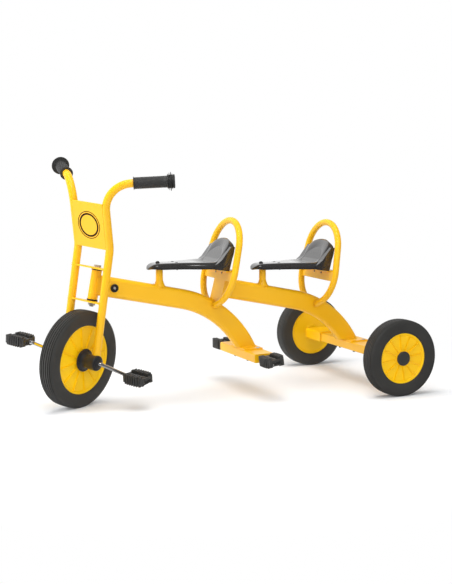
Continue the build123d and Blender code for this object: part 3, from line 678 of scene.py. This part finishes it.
def seat_section(half, thick, roll):
    """Right half of a section as (across, up): a small lip, the rounded edge and the flat top."""
    lip = min(1.6, thick * 0.2)
    section = [(half - lip * 1.6, -thick), (half - lip * 0.5, -thick + lip * 0.2), (half, -thick + lip)]
    section += [(half - roll * (1 - cos(pi / 2 * k / EDGE_POINTS)),
                 -roll * (1 - sin(pi / 2 * k / EDGE_POINTS))) for k in range(EDGE_POINTS + 1)]
    return section + [((half - roll) * (1 - k / TOP_POINTS), 0.0) for k in range(1, TOP_POINTS + 1)]


def seat_band():
    """Rolled band from the nose up the back."""
    bm = bmesh.new()
    rings = []
    for i in range((len(STATIONS) - 1) * ROWS_PER_STATION + 1):
        back, up, lean, half, thick = between(STATIONS, i / ROWS_PER_STATION)
        origin = Vector((-back, 0, up))
        rise = Vector((sin(radians(lean)), 0, cos(radians(lean))))
        into_back = min(max((back - 165) / 25, 0.0), 1.0)
        roll = (0.72 + 0.23 * into_back) * min(thick, half)
        right = seat_section(half, thick, roll)
        ring = []
        for y, z in right + [(-y, z) for y, z in reversed(right[:-1])]:
            point = origin + rise * z + Y_AXIS * y
            if z > -roll * 0.4:
                point -= rise * hollow(point.x, point.y)
            ring.append(bm.verts.new(point))
        rings.append(ring)
    for low, high in zip(rings, rings[1:]):
        join(bm, low, high)
    close_ends(bm, rings)
    return bm


def seat_gusset():
    """Side cheeks and back under the band."""
    bm = bmesh.new()
    outline = soften([(-176.0, -3.7), (-222.0, -11.4), (-240.0, 57.0), (-228.0, 57.7), (-212.0, 38.0),
                      (-200.0, 22.5), (-188.0, 13.5), (-176.0, 7.0), (-176.0, -3.7)], 1.5)
    for side in (1, -1):
        low = [bm.verts.new((x, side * CHEEK_HALF, z)) for x, z in outline]
        high = [bm.verts.new((x, 0, z)) for x, z in outline]
        join(bm, low, high)
        bm.faces.new(low)
    return bm


for word, nose in SEAT_NOSES.items():
    shell = seat_band()
    merge(shell, seat_gusset())
    add(shell, "seat_" + word + "_moulded", seat_plastic, "frame",
        FIXED @ Matrix.Translation(nose), ("seat_" + word,), 38)

# ---------------------------------------------------------------- plate ring print
RINGS = ((36.6, 38.6), (28.4, 33.4))    # inner and outer radius of each printed ring
HALF_PLATE = 1.5
PLATE_UP = 65.0         # from the fork's lower bend to the plate's middle, along the plate
PLATE_AHEAD = 9.5       # from the middle line of the tubes to the middle of the plate
PLATE_RISE = (FORK_LINE[2] - FORK_LINE[1]).normalized()
PLATE_FACING = Y_AXIS.cross(PLATE_RISE)
LOWER_BEND = Vector((FORK_LINE[1].x, 0, FORK_LINE[1].z))
PLATE_MIDDLE = LOWER_BEND + PLATE_RISE * PLATE_UP + PLATE_FACING * PLATE_AHEAD
rings = bmesh.new()
for inner, outer in RINGS:
    merge(rings, lathe([(-0.1, inner), (0.3, inner), (0.3, outer), (-0.1, outer), (-0.1, inner)], 96))
add(rings, "plate_ring_print", print_ink, "steering",
    STEERED @ aim(PLATE_MIDDLE + PLATE_FACING * HALF_PLATE, PLATE_FACING))


# ---------------------------------------------------------------- bumpers, bolts and nuts
BEAM_SLOPE = radians(12)        # how steeply the straight runs of both beams fall backwards
BACKWARDS = Vector((-cos(BEAM_SLOPE), 0, -sin(BEAM_SLOPE)))
HALF_BEAM = 16.0
BUMPER_BACK = 52.0              # behind the steering axis, along the beam
LOW_BARS = [anchor("footrest_pedal_left_spin"), anchor("rear_wheel_left_spin")]
BRACKET_DROP = 20.0             # from the tip of a seat's nose down to its bracket's bolts
BRACKET_BOLT = 20.0             # from the middle out to such a bolt
HALF_BRACKET = 2.0
bumpers = bmesh.new()
studs = bmesh.new()
bright = bmesh.new()
painted = bmesh.new()
seat_bolts = bmesh.new()


def hex_nut(bm, place, across, height, washer):
    """Hexagon nut with chamfered corners, on a washer."""
    radius = across / 3 ** 0.5
    nut = lathe([(washer, 0.0), (washer, radius * 0.98), (washer + height * 0.12, radius),
                 (washer + height * 0.85, radius), (washer + height, radius * 0.88),
                 (washer + height, 0.0)], 6)
    merge(bm, nut, place)
    merge(bm, lathe([(0, 0.0), (0, radius * 1.35), (washer, radius * 1.3), (washer, 0.0)], 32), place)


def dome(bm, place, radius, height):
    """Round bolt head."""
    outline = [(-0.4, 0.0), (-0.4, radius)]
    outline += [(height * sin(k * pi / 12), radius * cos(k * pi / 12)) for k in range(7)]
    merge(bm, lathe(outline, 28), place)


def bumper_mesh():
    """Round rubber bumper with a dished middle."""
    return lathe(soften([(-0.3, 0.0), (-0.3, 10.6), (0.8, 11.5), (4.0, 11.5), (6.0, 9.6), (6.0, 6.4),
                         (3.6, 5.4), (3.4, 0.0)], 0.9), 48)


def bar_bolt(heads, spot):
    """Bolt down through a low bar and its plate, from a spot at the bar's middle height."""
    dome(heads, aim(spot + Z_AXIS * 16.5, Z_AXIS), 6.0, 2.6)
    hex_nut(studs, aim(spot - Z_AXIS * 12.5, -Z_AXIS), 8.0, 4.6, 1.0)
    dome(studs, aim(spot - Z_AXIS * 18.1, -Z_AXIS), 2.4, 1.4)


def seat_fixings(nose):
    """Bolt heads on a seat and the screws under it, placed from the tip of its nose."""
    dome(seat_bolts, Matrix.Translation(nose + Vector((-33.0, 0, 15.2))), 6.4, 5.6)
    for y in (-15.0, 15.0):
        dome(seat_bolts, Matrix.Translation(nose + Vector((-84.0, y, 15.3))), 4.4, 1.2)
        dome(seat_bolts, aim(nose + Vector((-82.0, y * 1.6, -2.4)), -Z_AXIS), 3.2, 2.6)


def bracket_bolts(foot, crown, level):
    """Two bolts at a level in the bracket between a hoop's legs."""
    lean = (crown - foot).normalized()
    ahead = Y_AXIS.cross(lean)
    middle = foot + lean * ((level - foot.z) / lean.z) + ahead * HALF_BRACKET
    for y in (-BRACKET_BOLT, BRACKET_BOLT):
        dome(studs, aim(middle + Y_AXIS * y, ahead), 3.4, 1.6)


for side in (1, -1):
    face = aim(HEAD + BACKWARDS * BUMPER_BACK + Y_AXIS * (HALF_BEAM * side), Y_AXIS * side)
    merge(bumpers, bumper_mesh(), face)
    dome(bright, face @ Matrix.Translation((0, 0, 3.4)), 4.1, 2.6)
for bar in LOW_BARS:
    for x, heads in ((-16, bright), (16, painted)):
        for y in (-41, 41):
            bar_bolt(heads, Vector((bar.x + x, y, bar.z)))
for word, nose in SEAT_NOSES.items():
    seat_fixings(nose)
    bracket_bolts(*HOOPS[word], nose.z - BRACKET_DROP)
add(bumpers, "steering_stops_dished", black_plastic, "frame", FIXED, ("steering_stops",))
add(seat_bolts, "seat_bolts", black_plastic, "frame", FIXED)
add(studs, "frame_bolts", gunmetal, "frame", FIXED)
add(bright, "bright_bolts", zinc, "frame", FIXED)
add(painted, "painted_bolts", paint, "frame", FIXED)

# seals where the crank leaves the bearing housings, and a small tab beside each leg of the fork
axle_seals = bmesh.new()
for side in (1, -1):
    outline = soften([(-0.2, 5.2), (-0.2, 15.0), (1.0, 15.4), (2.2, 12.5), (3.0, 8.4), (3.0, 5.2)], 0.6)
    merge(axle_seals, lathe(outline, 48), aim(HUB + Y_AXIS * (side * 70.0), Y_AXIS * side))
    tab = Matrix.Translation(HUB + Vector((-21.5, side * 50.5, 14.0)))
    block(axle_seals, (9.0, 5.0, 7.0), tab @ Matrix.Rotation(-0.5, 4, "Y"), 1.2)
add(axle_seals, "axle_seals", black_plastic, "steering", STEERED)


# ---------------------------------------------------------------- weld beads
WELD_STEP = 1.7             # between the rings of a bead that follows a cut
SHORTEST_CHAIN = 8          # in points, and shorter ones get no bead
SHORTEST_RUN = 5
BEAM_HALF_DEPTH = 28.0
BEAM_CORNER = 11.0
POST_WELD = 16.2            # radius of the ring round a seat post's foot
YOKE_OFFSET = 46.5          # from the head's middle to the middle of a yoke, along the steering axis
YOKE_FACE = 2.6             # from there to a weld
PLATE_EDGE = 51.9           # from the front plate's middle to the welds on its long edges
PLATE_WELDS = ((-63.0, -44.0), (44.0, 63.0))    # the ends of each, along the plate


def cut_chains(node, point, normal):
    """Chains of points where a plane in metres cuts a CAD node, in millimetres of the world.

    The frame's meshes are split along their edges, so one outline comes as several chains. They
    start from the rear, so that each run gives the same ones.
    """
    source = frame["nodes"][node]
    bm = bmesh.new()
    bm.from_mesh(source.data)
    bm.transform(source.matrix_world)
    cut = bmesh.ops.bisect_plane(bm, geom=list(bm.verts) + list(bm.edges) + list(bm.faces), dist=1e-6,
                                 plane_co=point, plane_no=normal)["geom_cut"]
    edges = [item for item in cut if isinstance(item, bmesh.types.BMEdge)]
    edges.sort(key=lambda edge: tuple(edge.verts[0].co + edge.verts[1].co))
    left = dict.fromkeys(edges)
    chains = []
    while left:
        edge = next(iter(left))
        chain = [edge.verts[0]]
        while edge:
            del left[edge]
            chain.append(edge.other_vert(chain[-1]))
            edge = next((step for step in chain[-1].link_edges if step in left), None)
        chains.append([vert.co * 1000 for vert in chain])
    bm.free()
    return chains


def evenly(points, spacing):
    """Points at even spacing along a run."""
    result, carry = [points[0]], 0.0
    for a, b in zip(points, points[1:]):
        length = (b - a).length
        place = spacing - carry
        while place <= length:
            result.append(a.lerp(b, place / length))
            place += spacing
        carry = length - (place - spacing)
    return result


def runs_of(chain, keep):
    """Unbroken stretches of a chain, taken as closed, that pass the test."""
    kept = [keep(point) for point in chain]
    start = next((i for i, good in enumerate(kept) if good and not kept[i - 1]), None)
    if start is None:
        return []
    runs = [[]]
    for point, good in zip(chain[start:] + chain[:start], kept[start:] + kept[:start]):
        if good:
            runs[-1].append(point)
        elif runs[-1]:
            runs.append([])
    return runs


def weld(bm, node, point, normal, radius, keep=lambda p: True):
    """Beads along the chains of a cut, where they pass the test; a whole one closes inside the steel."""
    for cut in cut_chains(node, point, normal):
        chain = evenly(cut, WELD_STEP)
        if len(chain) < SHORTEST_CHAIN:
            continue
        if (chain[0] - chain[-1]).length < 1.0:
            chain.pop()
        if all(keep(p) for p in chain):
            merge(bm, bead(chain, radius))
            continue
        for run in runs_of(chain, keep):
            if len(run) >= SHORTEST_RUN:
                merge(bm, bead(run, radius, closed=False))


def post_weld(post_x, start):
    """Ring round a seat post's foot, over the rounded top of the beam whose middle line has a start."""
    flat = HALF_BEAM - BEAM_CORNER
    inside = HALF_BEAM - 0.1
    ring = []
    for k in range(56):
        angle = 2 * pi * k / 56
        x, y = post_x + POST_WELD * cos(angle), POST_WELD * sin(angle)
        out = min(max(abs(y) - flat, 0.0), BEAM_CORNER - 0.4)
        fall = BEAM_CORNER - (BEAM_CORNER ** 2 - out ** 2) ** 0.5
        z = start.z + (x - start.x) * tan(BEAM_SLOPE) + (BEAM_HALF_DEPTH - fall) / cos(BEAM_SLOPE)
        ring.append(FIXED @ Vector((x, min(max(y, -inside), inside), z)) * 1000)
    return bead(ring, 1.7)


def top_of(node):
    """Height of a CAD node's top in metres."""
    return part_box(node)[1][2]


welds = bmesh.new()
beside_beam = (HALF_BEAM + 1.2) / 1000
near_bar_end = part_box("rear_axle_bar")[1][1] - 0.0004
for beam, plate in (("front_beam", "footrest_mount_plate"), ("rear_beam", "rear_axle_mount_plate")):
    weld(welds, beam, (0, 0, top_of(plate) + 0.0004), Z_AXIS, 2.3)
for hoop in ("hoop_front", "hoop_rear"):
    for y in (beside_beam, -beside_beam):
        weld(welds, hoop, (0, y, 0), Y_AXIS, 2.0, lambda p: p.z < 350.0)
for y in (near_bar_end, -near_bar_end):
    weld(welds, "rear_axle_bar", (0, y, 0), Y_AXIS, 1.4)
for plate, bar in (("footrest_mount_plate", "footrest_bar"), ("rear_axle_mount_plate", "rear_axle_bar")):
    weld(welds, plate, (0, 0, top_of(bar) + 0.0003), Z_AXIS, 1.1,
               lambda p: abs(p.y) > 47.0 or abs(p.y) < 30.0)
rear_beam_toe = FIXED @ Vector((456.0, 0, 267.6))
weld(welds, "rear_beam", rear_beam_toe, (-0.51, 0, 0.86), 2.0, lambda p: abs(p.y) < 15.0)
for word, nose in SEAT_NOSES.items():
    merge(welds, post_weld(POSTS[word][0], HEAD + nose - SEAT_NOSES["front"]))
add(welds, "frame_weld_beads", paint, "frame", WORLD)

fork_welds = bmesh.new()
for yoke in (YOKE_OFFSET, -YOKE_OFFSET):
    for face in (YOKE_FACE, -YOKE_FACE):
        plane = STEERED @ (HEAD + STEER_AXIS * (yoke + face))
        for word in ("left", "right"):
            weld(fork_welds, "fork_tube_" + word, plane, STEER_AXIS, 1.3)
for y in (-PLATE_EDGE, PLATE_EDGE):
    for low, high in PLATE_WELDS:
        run = [STEERED @ (PLATE_MIDDLE + PLATE_RISE * (low + (high - low) * k / 11) + Y_AXIS * y) * 1000
               for k in range(12)]
        merge(fork_welds, bead(run, 1.5, closed=False))
add(fork_welds, "fork_weld_beads", paint, "steering", WORLD)

# ---------------------------------------------------------------- camera
CAMERA_PLACE = Vector((1892.0, 3096.8, 745.2))
CAMERA_HEADING = radians(-115.34)
CAMERA_PITCH = radians(-7.32)
CAMERA_ROLL = radians(-0.11)


def look(origin, heading, pitch, roll):
    """Camera matrix from its place and direction."""
    ahead = Vector((cos(pitch) * cos(heading), cos(pitch) * sin(heading), sin(pitch)))
    level = ahead.cross(Z_AXIS).normalized()
    upright = level.cross(ahead)
    right = level * cos(roll) + upright * sin(roll)
    up = upright * cos(roll) - level * sin(roll)
    turn = Matrix((right, up, -ahead)).transposed().to_4x4()
    return Matrix.Translation(origin) @ turn


camera = bpy.data.objects.new("camera", bpy.data.cameras.new("camera"))
camera.data.sensor_width = 36.0
camera.data.lens = 73.979
camera.data.shift_x = 0.0012
camera.data.shift_y = -0.0077
camera.matrix_world = look(FIXED @ CAMERA_PLACE, CAMERA_HEADING, CAMERA_PITCH, CAMERA_ROLL)
bpy.context.scene.collection.objects.link(camera)
bpy.context.scene.camera = camera


# ---------------------------------------------------------------- lamps, world and floor, in metres
def lamp(name, place, target, size, power, mirrored=False):
    """Soft lamp that faces a point; only a mirrored one shows in glossy surfaces."""
    data = bpy.data.lights.new(name, "AREA")
    data.shape = "RECTANGLE"
    data.size, data.size_y = size
    data.energy = power
    light = bpy.data.objects.new(name, data)
    turn = (Vector(target) - Vector(place)).to_track_quat("-Z", "Y").to_matrix().to_4x4()
    light.matrix_world = Matrix.Translation(place) @ turn
    light.visible_camera = False
    light.visible_glossy = mirrored
    bpy.context.scene.collection.objects.link(light)


lamp("overhead", (0.2, 0.2, 2.6), (0, 0, 0.2), (1.9, 1.9), 47)
lamp("front", (2.8, -0.6, 1.1), (0.2, 0, 0.3), (1.6, 1.6), 54)
lamp("camera_side", (0.4, 3.0, 1.7), (0, 0, 0.3), (2.2, 1.4), 27)
lamp("key", (0.9, 1.5, 2.3), (0, 0, 0.3), (0.7, 0.5), 7, mirrored=True)

FILL = 0.45             # strength of the world's light on the tricycle and the floor
MIRROR_BRIGHT = 1.0     # strength of the world behind the tricycle in reflections
MIRROR_DIM = 0.16       # and everywhere else in them
FLOOR_LIFT = 0.06       # glow that brings the lit floor up to white
FLOOR_IN_MIRROR = 0.12  # brightness of the near floor in reflections
FADE_START = 0.7        # where the floor starts to fade, from its middle
FADE_END = 1.25         # and where it is plain white


def map_axis(tree, where, axis, from_range, to_range):
    """X, Y or Z of a place or a direction, mapped from one range to another."""
    parts = tree.nodes.new("ShaderNodeSeparateXYZ")
    tree.links.new(where, parts.inputs[0])
    return stretch(tree, parts.outputs[axis], from_range, to_range)


def studio_world():
    """White to the camera, and in reflections white behind the tricycle and dim everywhere else."""
    world = bpy.data.worlds.new("studio")
    bpy.context.scene.world = world
    world.use_nodes = True
    tree = world.node_tree
    path = tree.nodes.new("ShaderNodeLightPath").outputs
    heading = tree.nodes.new("ShaderNodeTexCoord").outputs["Generated"]
    mirrored = map_axis(tree, heading, "Y", (-0.8, -0.42), (MIRROR_BRIGHT, MIRROR_DIM))
    plain = math_node(tree, "MAXIMUM", path["Is Camera Ray"], path["Is Transmission Ray"])
    plain = math_node(tree, "MAXIMUM", plain, FILL)
    reflected = math_node(tree, "MULTIPLY", path["Is Glossy Ray"], mirrored)
    direct = math_node(tree, "MULTIPLY", plain, math_node(tree, "SUBTRACT", 1.0, path["Is Glossy Ray"]))
    strength = math_node(tree, "ADD", direct, reflected)
    tree.links.new(strength, tree.nodes["Background"].inputs["Strength"])
    tree.nodes["Background"].inputs["Color"].default_value = (1, 1, 1, 1)


def floor_finish():
    """White that keeps the shadow near the tricycle and fades to plain white further out."""
    material, tree, shader, where = nodes_of("floor_white")
    shader.inputs["Base Color"].default_value = (0.88, 0.89, 0.90, 1)
    shader.inputs["Roughness"].default_value = 0.9
    shader.inputs["Specular IOR Level"].default_value = 0.0
    path = tree.nodes.new("ShaderNodeLightPath").outputs
    seen = math_node(tree, "MAXIMUM", path["Is Camera Ray"], path["Is Glossy Ray"])
    lit = tree.nodes.new("ShaderNodeAddShader")
    tree.links.new(shader.outputs[0], lit.inputs[0])
    tree.links.new(emission(tree, math_node(tree, "MULTIPLY", seen, FLOOR_LIFT)), lit.inputs[1])
    distance = tree.nodes.new("ShaderNodeVectorMath")
    distance.operation = "LENGTH"
    tree.links.new(where, distance.inputs[0])
    far = stretch(tree, distance.outputs["Value"], (FADE_START, FADE_END), (0.0, 1.0))
    white = mix(tree, math_node(tree, "MULTIPLY", far, seen), lit.outputs[0], emission(tree, 1.0))
    near_side = map_axis(tree, where, "Y", (-0.3, 0.3), (0.0, 1.0))
    dimmed = mix(tree, math_node(tree, "MULTIPLY", near_side, path["Is Glossy Ray"]), white,
                 emission(tree, FLOOR_IN_MIRROR))
    tree.links.new(dimmed, tree.nodes["Material Output"].inputs["Surface"])
    return material


def studio_floor():
    """Plain floor at the height of the tyres' lowest point."""
    grid = bmesh.new()
    bmesh.ops.create_grid(grid, x_segments=1, y_segments=1, size=9.0)
    mesh = bpy.data.meshes.new("floor")
    grid.to_mesh(mesh)
    grid.free()
    mesh.materials.append(floor_finish())
    floor = bpy.data.objects.new("floor", mesh)
    bpy.context.scene.collection.objects.link(floor)
    return floor


studio_world()
studio_floor()

bpy.context.scene.view_settings.view_transform = "Standard"
